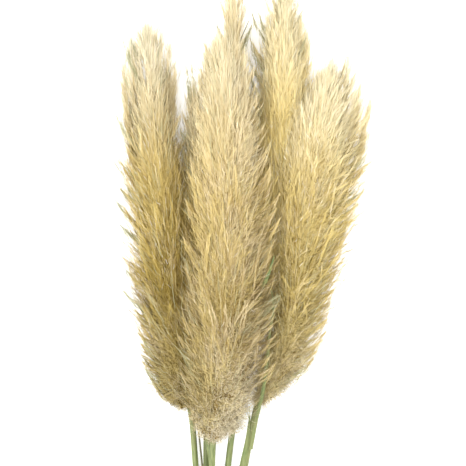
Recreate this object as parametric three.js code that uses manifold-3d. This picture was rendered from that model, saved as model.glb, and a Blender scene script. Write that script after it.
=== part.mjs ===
// A bundle of pampas grass: six cut stalks with their plumes and leaves, tied with twine and laid down.
// Millimetres. Y runs from the cut ends to the plume tips, X is across the bundle and Z is up from
// the surface that it lies on. Routes and outlines are measured from the middle of the tie.
import * as THREE from 'three';
import { mergeVertices } from 'three/addons/utils/BufferGeometryUtils.js';
import Module from 'manifold-3d';

const wasm = await Module();
wasm.setup();

// Driving dimensions.
const gap = 0.35; // clearance between pieces that touch
const stalkRadius = 4.3; // of a stalk where it is cut
const stalkThinning = 0.6; // how much of that it has lost where its plume starts
const stalkSpacing = 2 * stalkRadius + 3 * gap; // with room for the bends in them
const stalkReach = 110; // how far each stalk runs up inside its plume
const twineRadius = 1.05;
const twineTurns = 3;
const bladeThickness = 0.9;

// The stalks are packed three, two, one where they are tied, on top of the twine.
const firstRow = stalkRadius + gap + 2 * twineRadius;
const rowRise = stalkSpacing * Math.sin(Math.PI / 3);
const secondRow = firstRow + rowRise;
const topRow = secondRow + rowRise;
const straightAtTie = 20; // each stalk runs straight this far either side of the middle of the tie
const throughTie = (x, z) => [[x, -straightAtTie, z], [x, straightAtTie, z]];

// Each stalk has a route from its cut end to the tip of its plume. The plume's outline is a list of
// [y, half width], and its thickness is "depth" times its width. Plumes that lie on top come first.
const stalks = [
  {
    name: 'centre_front',
    route: [
      [2, -199, 23.4], ...throughTie(0, topRow), [-1.2, 183, 36], [1, 222, 40], [9, 260, 45],
      [15, 330, 54], [16, 400, 62], [20, 480, 68], [17, 560, 71], [14, 640, 69], [7, 695, 64], [6, 731, 58],
    ],
    outline: [
      [221, 8], [228, 20], [244, 32], [270, 41], [326, 50], [400, 49], [500, 48],
      [572, 39], [640, 31], [684, 23], [710, 12], [731, 3],
    ],
    depth: 0.7,
    colour: 0xd9cba4,
  },
  {
    name: 'left',
    route: [
      [-15, -203, 5.2], ...throughTie(-stalkSpacing, firstRow), [-22.5, 183, 11], [-27, 240, 15],
      [-33, 270, 18], [-41, 326, 23], [-50, 410, 26.5], [-63, 500, 27.5], [-76, 580, 27],
      [-79, 650, 25], [-82, 700, 21], [-83, 732, 17],
    ],
    outline: [
      [259, 16], [264, 27], [273, 36], [300, 41], [370, 45], [450, 48], [510, 47],
      [572, 42], [640, 34], [690, 26], [716, 17], [732, 4],
    ],
    depth: 0.68,
    colour: 0xc4ab72,
  },
  {
    name: 'right',
    route: [
      [15, -196, 5.2], ...throughTie(stalkSpacing, firstRow), [40.6, 183, 10], [50.8, 240, 14],
      [58, 265, 16], [75, 290, 18], [91, 330, 20], [102, 400, 23], [113, 470, 27], [125, 540, 30],
      [137, 600, 30], [142, 645, 28], [147, 681, 25],
    ],
    outline: [
      [261, 7], [271, 15], [286, 23], [314, 31], [387, 35], [440, 42], [500, 52],
      [560, 57], [610, 56], [636, 48], [658, 26], [681, 4],
    ],
    depth: 0.6,
    colour: 0xcdbf8c,
  },
  {
    name: 'right_back',
    route: [
      [8.5, -190, 13.9], ...throughTie(stalkSpacing / 2, secondRow), [18.8, 183, 15], [24.5, 228, 15.5],
      [36, 300, 15.5], [47, 350, 16], [59, 400, 17], [70, 460, 19], [80, 540, 21], [86, 633, 22],
      [87, 720, 22], [89, 790, 20],
    ],
    outline: [
      [330, 9], [346, 18], [387, 27], [450, 31], [540, 34], [620, 35], [680, 31], [715, 22],
      [750, 10], [790, 2.5],
    ],
    depth: 0.7,
    colour: 0xc8a668,
  },
  {
    name: 'left_back',
    route: [
      [-7, -194, 13.9], ...throughTie(-stalkSpacing / 2, secondRow), [-1, 170, 18], [-8.6, 225, 19],
      [-14, 290, 18], [-17, 360, 17.5], [-19, 449, 17.5], [-21, 530, 18], [-23.5, 627, 18], [-26, 680, 16],
      [-30, 711, 13],
    ],
    outline: [
      [318, 9], [340, 19], [387, 28], [449, 30], [510, 27], [572, 21], [625, 13], [670, 7], [711, 2],
    ],
    depth: 0.68,
    colour: 0xb28b4f,
  },
  {
    name: 'centre_back',
    route: [
      [0.5, -201, 5], ...throughTie(0, firstRow), [-8.9, 183, 8.5], [-8, 232, 9], [4, 300, 10],
      [16, 350, 12], [24, 410, 15], [28, 500, 17.5], [28, 600, 17.5], [26, 683, 16], [23, 786, 13],
    ],
    outline: [
      [334, 8], [350, 18], [395, 28], [460, 32], [520, 33], [580, 30], [633, 24], [690, 15],
      [735, 8.5], [786, 2.5],
    ],
    depth: 0.62,
    colour: 0xd2c294,
  },
];

// Leaf blades: long thin strips, hollowed along the middle, that grow up between the stalks.
const leaves = [
  {
    name: 'leaf_left',
    route: [[-8, 118, 19], [-11, 150, 19.5], [-14, 183, 20], [-20.3, 241, 23], [-24, 275, 25]],
    width: 2.4, cup: 0.2, colour: 0x4d5138,
  },
  {
    name: 'leaf_right_long',
    route: [
      [47, 200, 19], [54, 240, 26], [61.5, 273, 33], [66.5, 312, 38],
      [70, 348, 41], [74.5, 376, 43], [73, 394, 43.5], [69, 408, 43],
    ],
    width: 4.5, cup: 0.6, colour: 0x8f9b62,
  },
  {
    name: 'leaf_right_short',
    route: [[36, 330, 30], [43, 364, 36], [52, 395, 41], [63, 418, 43], [74, 435, 44]],
    width: 6.5, cup: 0.8, colour: 0x93a06a,
  },
  {
    name: 'leaf_back',
    route: [
      [14, 206, 20], [19, 290, 28], [24, 400, 37], [27, 520, 42], [27, 620, 43], [31, 696, 42], [44, 732, 41],
    ],
    width: 4.5, cup: 0.6, colour: 0x7a7048,
  },
];

// The dry sheath that clasps the right stalk, split at its top into two fibres.
const sheath = {
  name: 'sheath_right',
  route: [[22, 96, 15], [29.5, 140, 15.5], [37.3, 183, 15.8], [43, 215, 17.2], [45.5, 242, 20]],
  width: 9.5, cup: 2.2, colour: 0x9aa873,
};
const sheathFibres = [
  [[45, 236, 19.4], [43.6, 243, 21], [40.5, 253, 23]],
  [[45.4, 236, 19.4], [45.6, 244, 21.5], [45, 254, 24]],
];

function routeOf(points) {
  return new THREE.CatmullRomCurve3(points.map((p) => new THREE.Vector3(...p)), false, 'centripetal');
}

// The point of a route at a given y.
function pointAt(route, y) {
  let low = 0;
  let high = 1;
  for (let i = 0; i < 26; i++) {
    const middle = (low + high) / 2;
    if (route.getPoint(middle).y < y) low = middle;
    else high = middle;
  }
  return route.getPoint(low);
}

function evenShares(count) {
  return Array.from({ length: count + 1 }, (_, i) => i / count);
}

// A closed spindle round the Y axis from a list of [y, radius], made larger all over by "grow".
function spindle(outline, sides, grow = 0) {
  const points = outline.map(([y, radius]) => new THREE.Vector2(radius + grow, y));
  points[0].y -= grow;
  points[points.length - 1].y += grow;
  points.unshift(new THREE.Vector2(0, points[0].y));
  points.push(new THREE.Vector2(0, points[points.length - 1].y));
  return new THREE.LatheGeometry(points, sides);
}

// Moves a shape that stands on the Y axis sideways onto a route, at "depth" times its thickness.
// Nothing goes below the floor. "slant" tips its first end, as a cut across a stalk does.
function layAlong(geometry, route, { depth = 1, floor = -Infinity, slant = 0 } = {}) {
  const at = geometry.attributes.position;
  geometry.computeBoundingBox();
  const start = geometry.boundingBox.min.y;
  for (let i = 0; i < at.count; i++) {
    const y = at.getY(i);
    const centre = pointAt(route, y);
    const up = at.getZ(i) * depth;
    const tip = y < start + 1e-4 ? slant * up : 0;
    at.setXYZ(i, centre.x + at.getX(i), y + tip, Math.max(floor, centre.z + up));
  }
  return geometry;
}

// A geometry as a solid that can be cut and joined.
function solidOf(geometry) {
  geometry.deleteAttribute('normal');
  geometry.deleteAttribute('uv');
  const merged = mergeVertices(geometry, 1e-4);
  const corners = merged.index.array;
  const triangles = [];
  for (let i = 0; i < corners.length; i += 3) {
    const [a, b, c] = corners.slice(i, i + 3);
    if (a !== b && b !== c && c !== a) triangles.push(a, b, c);
  }
  return new wasm.Manifold(new wasm.Mesh({
    numProp: 3,
    vertProperties: merged.attributes.position.array,
    triVerts: new Uint32Array(triangles),
  }));
}

// What a cut leaves can be in several pieces, and the largest is the part.
function largestOf(solid) {
  return solid.decompose().reduce((best, piece) => (piece.volume() > best.volume() ? piece : best));
}

function meshOf(name, solid, colour, roughness) {
  const { vertProperties, triVerts } = solid.getMesh();
  const geometry = new THREE.BufferGeometry();
  geometry.setAttribute('position', new THREE.BufferAttribute(vertProperties, 3));
  geometry.setIndex(new THREE.BufferAttribute(triVerts, 1));
  geometry.computeVertexNormals();
  const material = new THREE.MeshStandardMaterial({ color: colour, roughness, metalness: 0 });
  const mesh = new THREE.Mesh(geometry, material);
  mesh.name = name;
  return mesh;
}

// A stalk is a long taper that swells a little at each of its joints, and its cut end is slanted.
const stalkSides = 9;
const stalkJoints = [-95, 96]; // y of the joints
const jointRise = 0.25;
const jointLength = 6;

function stalkSolid({ route, outline }, grow = 0) {
  const start = route[0][1];
  const base = outline[0][0];
  const end = base + stalkReach;
  const stations = evenShares(14).map((t) => start + (end - start) * t);
  for (const joint of stalkJoints) stations.push(joint - jointLength, joint, joint + jointLength);
  const profile = stations.sort((a, b) => a - b).map((y) => {
    const thinning = stalkThinning * Math.max(0, y) / base;
    return [y, stalkRadius - thinning + (stalkJoints.includes(y) ? jointRise : 0)];
  });
  return solidOf(layAlong(spindle(profile, stalkSides, grow), routeOf(route), { slant: 0.7 }));
}

// A plume fills out from its base, then narrows to its tip. Where it lies on the surface it is flat.
const plumeSides = 18;
const plumeRings = 20;

function plumeSolid({ route, outline, depth }, grow = 0) {
  const edge = new THREE.SplineCurve(outline.map(([y, half]) => new THREE.Vector2(y, half)));
  const profile = evenShares(plumeRings).map((t) => edge.getPoint(t).toArray());
  const floor = grow ? -1 : 0;
  return solidOf(layAlong(spindle(profile, plumeSides, grow), routeOf(route), { depth, floor }));
}

// A blade is widest a third of the way up, comes to a point, and is hollowed along its middle.
const bladeStep = 17;

function bladeSolid({ route, width, cup }, grow = 0) {
  const start = route[0][1];
  const length = route[route.length - 1][1] - start;
  const blade = new THREE.BoxGeometry(1, 1, 1, 2, Math.round(length / bladeStep), 1);
  const at = blade.attributes.position;
  for (let i = 0; i < at.count; i++) {
    const along = at.getY(i) + 0.5;
    const across = 2 * at.getX(i);
    const share = 0.1 + 0.9 * Math.sin(Math.PI * (0.3 + 0.7 * along)) ** 0.8;
    const x = across * (share * width / 2 + grow);
    const z = at.getZ(i) * (bladeThickness + 2 * grow) - cup * share * across * across;
    at.setXYZ(i, x, start + along * length, z);
  }
  return solidOf(layAlong(blade, routeOf(route)));
}

// The fibres that the sheath splits into.
function fibreSolid(points) {
  const start = points[0][1];
  const length = points[points.length - 1][1] - start;
  const profile = evenShares(4).map((t) => [start + t * length, 0.75 - 0.5 * t]);
  return solidOf(layAlong(spindle(profile, 6), routeOf(points)));
}

function sheathSolid(grow = 0) {
  return sheathFibres.reduce((solid, points) => solid.add(fibreSolid(points)), bladeSolid(sheath, grow));
}

// The twine goes round the packed stalks as a triangle with round corners.
function tieOutline(radius, path) {
  const corners = [
    [stalkSpacing, firstRow, -Math.PI / 2, Math.PI / 6],
    [0, topRow, Math.PI / 6, (5 * Math.PI) / 6],
    [-stalkSpacing, firstRow, (5 * Math.PI) / 6, (3 * Math.PI) / 2],
  ];
  for (const [x, z, start, end] of corners) path.absarc(x, z, radius, start, end, false);
  path.closePath();
  return path;
}

function tieSolid() {
  const inside = stalkRadius + gap;
  const bevel = 0.45 * twineRadius;
  const ring = tieOutline(inside + 2 * twineRadius - bevel, new THREE.Shape());
  ring.holes.push(tieOutline(inside + bevel, new THREE.Path()));
  const turns = [];
  for (let i = 0; i < twineTurns; i++) {
    const turn = new THREE.ExtrudeGeometry(ring, {
      depth: 2 * twineRadius - 1.6 * bevel,
      bevelThickness: bevel,
      bevelSize: bevel,
      bevelSegments: 1,
      curveSegments: 4,
    });
    turn.rotateX(Math.PI / 2);
    turn.translate(0, (i - (twineTurns - 1) / 2 + 0.5) * 2 * twineRadius, 0);
    turns.push(solidOf(turn));
  }
  const knot = new THREE.SphereGeometry(1, 9, 6);
  knot.scale(4.2, 3.4, 2.1);
  knot.translate(0, 0, topRow + inside + 2.6 * twineRadius);
  return [...turns.slice(1), solidOf(knot)].reduce((tie, piece) => tie.add(piece), turns[0]);
}

// Hard pieces are made first. Each plume then makes room for them, and for the plumes that lie over it.
const bundle = new THREE.Group();
const made = [];
const clearOf = (solid) => largestOf(made.reduce((left, other) => left.subtract(other), solid));

for (const stalk of stalks) {
  bundle.add(meshOf(`stem_${stalk.name}`, stalkSolid(stalk), 0x93a36a, 0.6));
  made.push(stalkSolid(stalk, gap));
}
bundle.add(meshOf('twine_tie', clearOf(tieSolid()), 0xb99a6b, 0.95));

for (const leaf of [...leaves, sheath]) {
  const solidFor = leaf === sheath ? sheathSolid : (grow) => bladeSolid(leaf, grow);
  bundle.add(meshOf(leaf.name, clearOf(solidFor(0)), leaf.colour, 0.7));
  made.push(solidFor(gap));
}

for (const stalk of stalks) {
  bundle.add(meshOf(`plume_${stalk.name}`, clearOf(plumeSolid(stalk)), stalk.colour, 0.9));
  made.push(plumeSolid(stalk, gap));
}

// The origin is under the middle of the bundle, at the surface.
const box = new THREE.Box3().setFromObject(bundle);
const middle = box.getCenter(new THREE.Vector3());
bundle.position.set(-middle.x, -middle.y, -box.min.z);

const model = new THREE.Group();
model.add(bundle);

export default model;
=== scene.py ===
import math
import bpy
import numpy as np
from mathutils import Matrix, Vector


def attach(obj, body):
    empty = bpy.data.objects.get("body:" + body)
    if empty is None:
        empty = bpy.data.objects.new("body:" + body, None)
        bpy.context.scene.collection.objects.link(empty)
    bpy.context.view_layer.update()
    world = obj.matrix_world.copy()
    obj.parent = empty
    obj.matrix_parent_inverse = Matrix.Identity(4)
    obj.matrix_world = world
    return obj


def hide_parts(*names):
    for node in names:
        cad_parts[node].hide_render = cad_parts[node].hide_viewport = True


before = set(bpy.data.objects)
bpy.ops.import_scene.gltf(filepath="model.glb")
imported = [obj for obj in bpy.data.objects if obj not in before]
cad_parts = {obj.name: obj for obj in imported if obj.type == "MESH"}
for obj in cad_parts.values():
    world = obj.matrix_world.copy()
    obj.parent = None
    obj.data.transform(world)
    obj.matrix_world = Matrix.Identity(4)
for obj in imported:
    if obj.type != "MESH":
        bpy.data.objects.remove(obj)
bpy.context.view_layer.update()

# the bundle lies on the floor with its plumes towards +Y; lengths below are in millimetres from the middle of
# the tie, and the tie stands here in the frame
tieSpot = (-38.365, -292.086)
millimetre = 0.001


def place(points):
    found = np.array(points, float).reshape(-1, 3).copy()
    found[:, 0] += tieSpot[0]
    found[:, 1] += tieSpot[1]
    return found * millimetre


class Wire:  # a node's output that adds its own maths nodes
    def __init__(self, kit, socket):
        self.kit = kit
        self.socket = socket

    def calc(self, operation, first, second):
        return self.kit.node("ShaderNodeMath", {"operation": operation}, {0: first, 1: second})

    def __add__(self, other):
        return self.calc("ADD", self, other)

    def __radd__(self, other):
        return self.calc("ADD", other, self)

    def __sub__(self, other):
        return self.calc("SUBTRACT", self, other)

    def __rsub__(self, other):
        return self.calc("SUBTRACT", other, self)

    def __mul__(self, other):
        return self.calc("MULTIPLY", self, other)

    def __rmul__(self, other):
        return self.calc("MULTIPLY", other, self)


class Finish:  # one material with its shader
    def __init__(self, name, roughness=0.6, **sockets):
        self.material = bpy.data.materials.new(name)
        self.material.use_nodes = True
        self.tree = self.material.node_tree
        self.shader = self.tree.nodes["Principled BSDF"]
        self.shader.inputs["Roughness"].default_value = roughness
        for key, value in sockets.items():
            self.shader.inputs[key.replace("_", " ")].default_value = value

    def node(self, kind, settings=None, values=None, output=0):
        made = self.tree.nodes.new(kind)
        for key, value in (settings or {}).items():
            if key == "stops":
                ramp = made.color_ramp
                while len(ramp.elements) < len(value):
                    ramp.elements.new(0.5)
                for element, (position, colour) in zip(ramp.elements, value):
                    element.position = position
                    element.color = colour
            else:
                setattr(made, key, value)
        for key, value in (values or {}).items():
            if isinstance(value, Wire):
                self.tree.links.new(value.socket, made.inputs[key])
            else:
                made.inputs[key].default_value = value
        return Wire(self, made.outputs[output])

    def mix(self, share, first, second):
        return self.node("ShaderNodeMix", {"data_type": "RGBA"}, {0: share, 6: first, 7: second}, output=2)

    def feed(self, name, wire):
        self.tree.links.new(wire.socket, self.shader.inputs[name])
        return self


def tint(red, green, blue):  # a colour as it is seen on a screen, 0 to 255, made linear
    def linear(v):
        v /= 255
        return v / 12.92 if v <= 0.04045 else ((v + 0.055) / 1.055) ** 2.4
    return (linear(red), linear(green), linear(blue), 1)


# the plume's colour map has a column for each golden shade, each rosy shade, a grey green and a glint
toneCount = 8  # darkest first
columnCount = 18
greyColumn, glintColumn = 16, 17
mapEdge = 0.08  # each column's share that is left free at either side
hairSegments = 2


def hairFinish(name, plan):
    finish = Finish(name, roughness=plan["roughness"], Specular_IOR_Level=plan["gloss"])
    spot = finish.node("ShaderNodeUVMap", {"uv_map": "OFBake"})
    across = finish.node("ShaderNodeSeparateXYZ", None, {0: spot})
    height = Wire(finish, across.socket.node.outputs["Y"])
    columns = across * columnCount
    column = finish.node("ShaderNodeMath", {"operation": "FLOOR"}, {0: columns})
    tipward = columns - column
    rosy = finish.node("ShaderNodeMath", {"operation": "GREATER_THAN"}, {0: column, 1: toneCount - 0.5})
    tone = column - rosy * toneCount
    # painted shade: each hair's colour darkens from its tip towards its root, deep in the plume
    shade = tone * (plan["toneReach"] / (toneCount - 1)) + tipward * plan["rootToTipPaintedShade"] + plan["toneStart"]
    shade = finish.node("ShaderNodeClamp", None, {0: shade})
    hues = []
    for hue in ("golden", "rosy"):
        ends = []
        for depth in ("Deep", "Pale"):
            stops = list(zip(plan["stops" + depth], [tint(*colour) for colour in plan[hue + depth]]))
            ends.append(finish.node("ShaderNodeValToRGB", {"stops": stops}, {0: height}))
        hues.append(finish.mix(shade, *ends))
    colour = finish.mix(rosy, *hues)
    for special, key in ((greyColumn, "grey"), (glintColumn, "glint")):
        here = finish.node("ShaderNodeMath", {"operation": "COMPARE"}, {0: column, 1: special, 2: 0.5})
        colour = finish.mix(here, colour, tint(*plan[key]))
    finish.feed("Base Color", colour)
    return finish.material


def smoothed(values, width):  # a running average
    kernel = np.ones(width) / width
    padded = np.concatenate([np.full(width, values[0]), values, np.full(width, values[-1])])
    return np.convolve(padded, kernel, "same")[width:-width]


def normalised(vectors):
    return vectors / np.maximum(np.linalg.norm(vectors, axis=-1, keepdims=True), 1e-9)


class Plume:  # the plume's middle line and outline, with a frame at every height
    def __init__(self, plan):
        route = np.array(plan["route"], float)
        outline = np.array(plan["outline"], float)
        self.low, self.high = outline[0, 0], outline[-1, 0]
        self.heights = np.linspace(self.low - 60, self.high + 20, 500)
        reach = 25  # of the 500 heights
        self.x = smoothed(np.interp(self.heights, route[:, 1], route[:, 0]), reach)
        self.z = smoothed(np.interp(self.heights, route[:, 1], route[:, 2]), reach)
        self.outline = outline
        self.depth = plan["depth"]

    def frameAt(self, height):
        x = np.interp(height, self.heights, self.x)
        z = np.interp(height, self.heights, self.z)
        step = 2.0
        dx = np.interp(height + step, self.heights, self.x) - np.interp(height - step, self.heights, self.x)
        dz = np.interp(height + step, self.heights, self.z) - np.interp(height - step, self.heights, self.z)
        middle = np.stack([x, height, z], -1)
        forward = normalised(np.stack([dx, np.full_like(dx, 2 * step), dz], -1))
        side = normalised(np.stack([forward[..., 1], -forward[..., 0], np.zeros_like(dx)], -1))
        up = np.cross(side, forward)
        return middle, forward, side, up

    def halfWidth(self, height):
        return np.interp(height, self.outline[:, 0], self.outline[:, 1])

    def shareAt(self, height):
        return (height - self.low) / (self.high - self.low)

    def spoke(self, angle, side, up, flatness=1):  # from the middle line outwards
        return np.cos(angle)[:, None] * side + flatness * np.sin(angle)[:, None] * up

    def facing(self, angle, side, up):  # the way its surface faces
        return np.cos(angle)[:, None] * side * self.depth + np.sin(angle)[:, None] * up


def pickAngles(rng, count, depth, plan):  # round the plume, with fewer on its underside
    if plan.get("sides"):
        side = rng.choice(plan["sides"], count)
        return side + rng.normal(0, plan["sideSpread"], count)
    angles = np.linspace(0, 2 * math.pi, 721)
    weight = np.sqrt(np.sin(angles) ** 2 + (depth * np.cos(angles)) ** 2)
    weight *= plan["under"] + (1 - plan["under"]) * np.clip((np.sin(angles) + 0.85) / 0.6, 0, 1)
    total = np.concatenate([[0], np.cumsum((weight[1:] + weight[:-1]) / 2)])
    return np.interp(rng.random(count) * total[-1], total, angles)


def pickHeights(rng, count, shape, low, high, extra):  # more where the plume is wide
    grid = np.linspace(low, high, 400)
    weight = shape.halfWidth(grid) + extra + 3 * extra * np.clip(1 - (grid - low) / 25, 0, 1)
    total = np.concatenate([[0], np.cumsum((weight[1:] + weight[:-1]) / 2)])
    return np.interp(rng.random(count) * total[-1], total, grid)


def atHeight(plan, key, share):
    return np.interp(share, plan["at"], plan[key])


def mottle(rng, height, angle):  # slow patches over the plume, about -1 to 1
    waves = 0
    for reach, turns in ((17, 1), (29, -2), (11, 3), (43, 1)):
        waves = waves + np.sin(height / reach + turns * angle + rng.uniform(0, 2 * math.pi))
    return waves / 2.2


def acrossSides(pair, sideways):  # from the left side's value to the right side's
    left, right = pair
    return (left + right) / 2 + (right - left) / 2 * sideways


def onCurve(a, b, c, t):
    return (1 - t) ** 2 * a + 2 * t * (1 - t) * b + t ** 2 * c


def pickLocks(shape, plan, rng):  # groups of fronds that lean together and share a shade
    count = plan["locks"]
    start = shape.low + plan["startAt"] * (shape.high - shape.low)
    return {
        "height": pickHeights(rng, count, shape, start, shape.high, 2.5),
        "angle": pickAngles(rng, count, shape.depth, plan),
        "lean": rng.normal(0, plan["lockLean"], count),
        "swing": rng.normal(0, plan["lockSwing"], count),
        "tone": rng.normal(0, plan["lockTone"], count),
        "out": rng.normal(0, plan["lockOut"], count),
        "length": rng.uniform(0.8, 1.2, count),
    }


def shadeFronds(plan, rng, locks, lock, height, angle, share):
    sideways = np.cos(angle)
    tone = locks["tone"][lock] + rng.normal(0, plan["frondTone"], len(lock))
    tone = tone * atHeight(plan, "contrast", share) + atHeight(plan, "tone", share)
    # painted light and shade on the plume's sides: a side darkens where a neighbouring plume shadows it and
    # lightens where it stands in the light
    tone += acrossSides(plan["sideTone"], sideways) * atHeight(plan, "sideToneAt", share)
    tone += plan["mottled"] * mottle(rng, height, angle)
    rosy = acrossSides(plan["sideRosy"], sideways) + atHeight(plan, "rosyAt", share)
    rosy = rosy + 0.3 * mottle(rng, height, angle) + rng.normal(0, 0.12, plan["locks"])[lock]
    grey = rng.random(plan["locks"])[lock] < plan["greyShare"]
    return {"tone": tone, "rosy": rosy, "special": np.where(grey, greyColumn, 0)}


def growFronds(shape, plan, rng):  # each is a curve from deep in the plume out to its surface
    locks = pickLocks(shape, plan, rng)
    count = plan["locks"] * plan["frondsPerLock"]
    lock = np.repeat(np.arange(plan["locks"]), plan["frondsPerLock"])
    height = np.clip(locks["height"][lock] + rng.normal(0, plan["lockTall"], count), shape.low, shape.high)
    width = shape.halfWidth(height)
    angle = locks["angle"][lock] + rng.normal(0, 1, count) * plan["lockWide"] / np.maximum(width, 8)
    share = shape.shareAt(height)
    tangle = atHeight(plan, "tangle", share)
    lean = atHeight(plan, "openness", share) * acrossSides(plan["sideOpen"], np.cos(angle))
    lean = lean * (1 + (locks["lean"][lock] + rng.normal(0, plan["frondLean"], count)) * tangle)
    lean = np.radians(np.clip(lean, 3, 125))
    length = atHeight(plan, "frondLength", share) * locks["length"][lock] * rng.uniform(0.8, 1.2, count)
    out = plan["outLow"] + (plan["outHigh"] - plan["outLow"]) * rng.random(count) ** plan["outBias"]
    out += locks["out"][lock]
    out += rng.exponential(1, count) * atHeight(plan, "outTail", share)
    middle, forward, side, up = shape.frameAt(height)
    spoke = shape.spoke(angle, side, up)
    around = np.cos(angle)[:, None] * up - np.sin(angle)[:, None] * side
    reach = (out * width)[:, None] * shape.spoke(angle, side, up, shape.depth)
    tip = middle + reach
    inward = 0.95 * np.linalg.norm(reach, axis=1) + 6  # its root stays on its own side of the middle
    length = np.minimum(length, inward / np.maximum(np.sin(lean), 0.05))
    bend = np.radians(plan["bend"] + rng.normal(0, plan["bendVaries"], count))
    swing = locks["swing"][lock] + rng.normal(0, plan["frondSwing"], count)
    swing = (swing * tangle)[:, None]
    firstLean, lastLean = (lean - bend)[:, None], (lean + bend)[:, None]
    start = normalised(np.cos(firstLean) * forward + np.sin(firstLean) * (spoke + swing * 0.5 * around))
    end = normalised(np.cos(lastLean) * forward + np.sin(lastLean) * (spoke + swing * 1.5 * around))
    control = tip - end * (length * 0.5)[:, None]
    root = control - start * (length * 0.5)[:, None]
    outward = normalised(shape.facing(angle, side, up) + 0.12 * forward)
    shades = shadeFronds(plan, rng, locks, lock, height, angle, share)
    return {"root": root, "control": control, "tip": tip, "length": length, "outward": outward,
            "share": share, **shades}


def combHairs(fronds, plan, rng):  # the fine hairs along each frond, looser at its root
    per = plan["hairsPerFrond"]
    count = len(fronds["length"])
    pick = np.repeat(np.arange(count), per)
    n = len(pick)
    spot = (np.tile(np.arange(per), count) + rng.random(n)) / per
    spot = plan["hairFrom"] + (0.98 - plan["hairFrom"]) * spot
    s = spot[:, None]
    a, b, c = fronds["root"][pick], fronds["control"][pick], fronds["tip"][pick]
    point = onCurve(a, b, c, s) + rng.normal(0, plan["loose"], (n, 3)) * (1.15 - 0.7 * s)
    forward = normalised((1 - s) * (b - a) + s * (c - b))
    outward = fronds["outward"][pick]
    share = fronds["share"][pick]
    across = normalised(np.cross(forward, outward))
    up = np.cross(across, forward)
    turn = rng.random(n) * 2 * math.pi
    spread = np.radians(atHeight(plan, "spread", share)) * np.abs(rng.normal(0.9, 0.45, n))
    sideways = np.cos(turn)[:, None] * across + np.sin(turn)[:, None] * up
    start = np.cos(spread)[:, None] * forward + np.sin(spread)[:, None] * sideways
    # shorter towards the frond's tip
    length = atHeight(plan, "hairLength", share) * rng.uniform(0.7, 1.3, n) * (1 - 0.4 * spot)
    length = np.minimum(length, 0.65 * fronds["length"][pick] + 4)[:, None]
    curl = rng.normal(0, 1, (n, 3)) * length * atHeight(plan, "curl", share)[:, None]
    middle = point + (start * 0.5 + forward * 0.04) * length + curl
    end = point + (start * 0.72 + forward * 0.26) * length + curl * 0.4
    tone = fronds["tone"][pick] + rng.normal(0, plan["hairTone"], n) * atHeight(plan, "contrast", share)
    glint = rng.random(n) < plan["glints"] * atHeight(plan, "glintAt", share)
    special = np.where(glint, glintColumn, fronds["special"][pick])
    # painted shade: hairs near the frond's root, deep in the plume, are coloured darker, less so near the
    # plume's tip
    light = 1 - (1 - spot * 0.72) * atHeight(plan, "rootShade", share)  # darker deep in the plume
    return {"points": [point, middle, end], "outward": outward, "tone": tone,
            "rosy": fronds["rosy"][pick] + rng.normal(0, 0.18, n), "special": special,
            "from": light, "to": light + 0.28 * (1 - light),
            "wide": plan["hairWide"] * rng.uniform(0.75, 1.25, n)}


def frondBranches(fronds, plan):  # each frond's own thin branch
    n = len(fronds["length"])
    steps = np.array([0.0, 0.5, 1.0])[:, None, None]
    return {"points": list(onCurve(fronds["root"], fronds["control"], fronds["tip"], steps)),
            "outward": fronds["outward"], "tone": fronds["tone"] + 0.5, "rosy": fronds["rosy"],
            "special": fronds["special"], "from": np.full(n, 0.1), "to": np.full(n, 0.9),
            "wide": np.full(n, plan["branchWide"])}


def innerHairs(shape, plan, rng):  # broad short branchlets deep in the plume, in its shade
    n = plan["inner"]
    height = pickHeights(rng, n, shape, shape.low + 6, shape.high - 10, 0)
    angle = pickAngles(rng, n, shape.depth, plan)
    middle, forward, side, up = shape.frameAt(height)
    out = rng.uniform(0.3, 0.66, n) * shape.halfWidth(height)
    reach = out[:, None] * shape.spoke(angle, side, up, shape.depth)
    point = middle + reach
    lean = np.radians(rng.uniform(5, 22, n))[:, None]
    start = np.cos(lean) * forward + np.sin(lean) * normalised(reach)
    length = np.minimum(rng.uniform(24, 44, n), (shape.high - height) * 0.8 + 6)[:, None]
    return {"points": [point + start * length * step for step in (-0.4, 0.1, 0.6)],
            "outward": normalised(shape.facing(angle, side, up)),
            # painted shade: these branchlets are coloured dark, darkest low in the plume
            "tone": rng.normal(0, 0.8, n) + atHeight(plan, "innerTone", shape.shareAt(height)),
            "rosy": np.zeros(n), "special": np.zeros(n), "from": np.full(n, 0.02), "to": np.full(n, 0.3),
            "wide": plan["innerWide"] * rng.uniform(0.7, 1.3, n)}


def strayHairs(shape, plan, rng):  # single long hairs that stand off the plume
    n = plan["strays"]
    span = shape.high - shape.low
    height = rng.uniform(shape.low + min(12, span / 5), shape.high - min(20, span / 4), n)
    angle = pickAngles(rng, n, shape.depth, plan)
    middle, forward, side, up = shape.frameAt(height)
    out = rng.uniform(0.7, 0.98, n) * shape.halfWidth(height)
    reach = out[:, None] * shape.spoke(angle, side, up, shape.depth)
    spoke = normalised(reach)
    lean = np.radians(atHeight(plan, "openness", shape.shareAt(height)) * rng.uniform(0.5, 1.1, n))[:, None]
    curve = np.radians(rng.normal(6, 9, n))[:, None]
    length = (plan["strayLength"] * rng.uniform(0.6, 1.3, n))[:, None]
    points = [middle + reach]
    for heading in (lean + curve, lean - curve):
        points.append(points[-1] + (np.cos(heading) * forward + np.sin(heading) * spoke) * length * 0.5)
    tone = rng.normal(plan["strayTone"], 1.2, n)
    rosy = rng.random(n)
    grey = rng.random(n) < max(plan["greyShare"], plan["strayGrey"])
    return {"points": points, "outward": normalised(shape.facing(angle, side, up)), "tone": tone,
            "rosy": rosy, "special": np.where(grey, greyColumn, 0),
            "from": np.full(n, 0.4), "to": np.full(n, 0.95),
            "wide": plan["strayWide"] * rng.uniform(0.7, 1.3, n)}


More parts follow.
